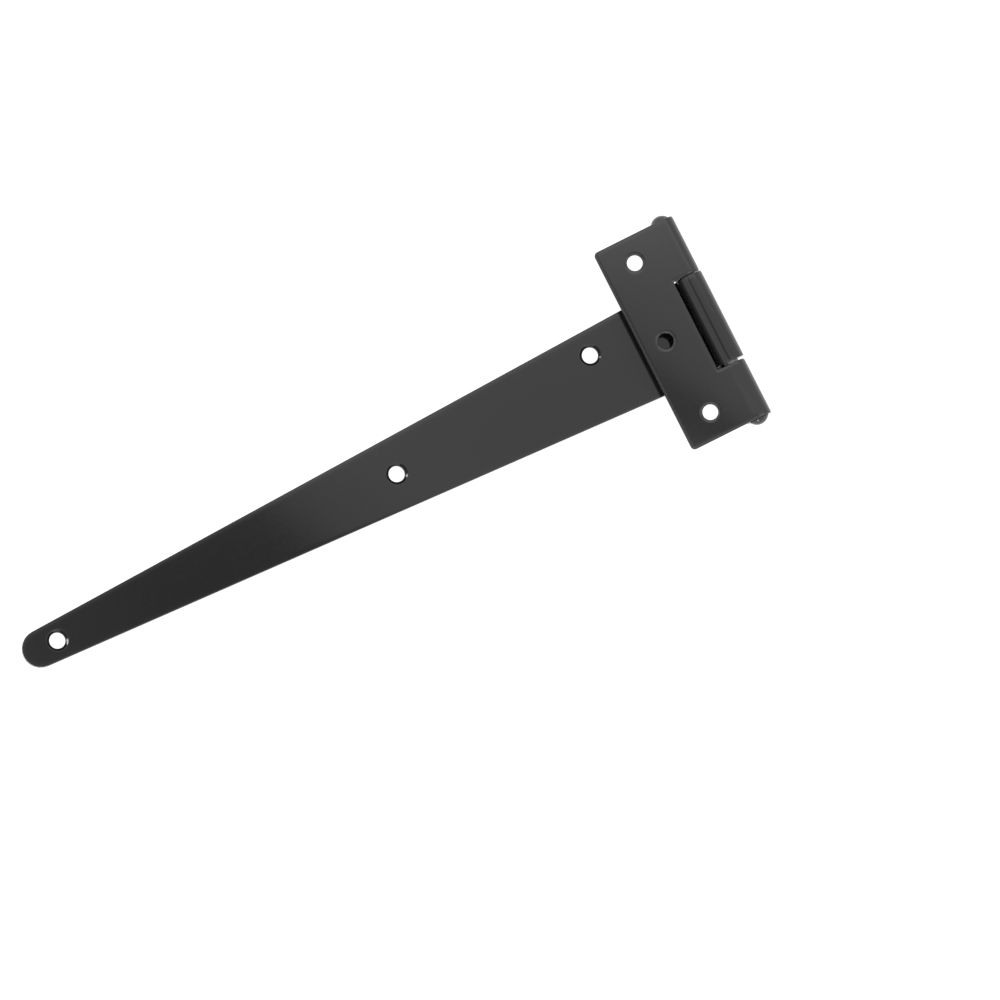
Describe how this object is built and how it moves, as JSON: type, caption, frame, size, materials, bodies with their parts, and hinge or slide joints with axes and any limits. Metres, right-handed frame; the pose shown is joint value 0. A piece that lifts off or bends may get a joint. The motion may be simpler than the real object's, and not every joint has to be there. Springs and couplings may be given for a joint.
{
  "type": "t hinge",
  "caption": "T hinge: long tapered strap leaf with a round tip and a short cross plate, both rolled around one riveted pin, folded shut.",
  "frame": {"origin": "on the strap's back, on its centre line and straight below the pin's axis", "axes": "+X along the strap from the pin to the tip, +Y along the pin, +Z out of the strap's countersunk face; at rest the plate is folded over the strap and 5.5 degrees past parallel with it, its back upwards"},
  "size_m": [0.2549, 0.0755, 0.0098],
  "materials": {
    "black_coated_steel": "black powder coat, semi-gloss, over pressed steel sheet",
    "pin_steel": "steel pin, its riveted heads coated black with the leaves"
  },
  "bodies": {
    "strap": {"strap_leaf": "black_coated_steel"},
    "plate": {"frame_plate": "black_coated_steel", "hinge_pin": "pin_steel"}
  },
  "joints": [
    {"name": "leaf_hinge", "type": "hinge", "parent": "strap", "child": "plate", "pos_m": [0, 0, 0.00488], "axis": [0, -1, 0], "range_deg": [-6, 275.5]}
  ]
}
